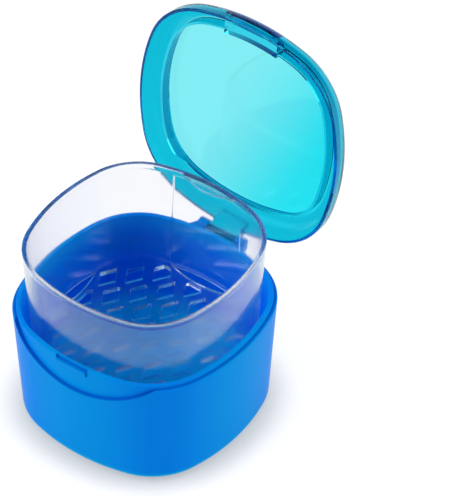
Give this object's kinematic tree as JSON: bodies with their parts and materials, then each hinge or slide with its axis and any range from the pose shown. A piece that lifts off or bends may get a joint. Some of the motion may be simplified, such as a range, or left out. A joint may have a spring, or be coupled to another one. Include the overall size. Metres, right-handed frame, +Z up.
{
  "type": "denture case",
  "caption": "Rounded-square denture case: blue cup with thumb scoop, clear rinsing basket with a pierced floor, and a see-through teal snap lid on a rear hinge.",
  "frame": {"origin": "on the cup's centre line, on the surface that the cup stands on", "axes": "+Z up out of the cup, -Y towards the catch and thumb scoop, +Y towards the hinge, +X to the right seen from the front"},
  "size_m": [0.092, 0.1165, 0.1418],
  "materials": {
    "cup_plastic": "satin opaque blue moulding",
    "basket_plastic": "clear, lightly frosted moulding",
    "lid_plastic": "see-through teal moulding",
    "pin_steel": "plain drawn wire"
  },
  "bodies": {
    "cup": {"cup": "cup_plastic", "hinge_pin": "pin_steel"},
    "lid": {"lid": "lid_plastic"},
    "basket": {"basket": "basket_plastic"}
  },
  "joints": [
    {"name": "lid_hinge", "type": "hinge", "parent": "cup", "child": "lid", "pos_m": [0, 0.0489, 0.0479], "axis": [1, 0, 0], "range_deg": [0, 97.2]},
    {"name": "basket_lift", "type": "slide", "parent": "cup", "child": "basket", "axis": [0, 0, 1], "range_m": [-0.0291, 0]}
  ],
  "couplings": [
    {"joint": "basket_lift", "follows": "lid_hinge", "m_per_rad": -0.01715}
  ]
}
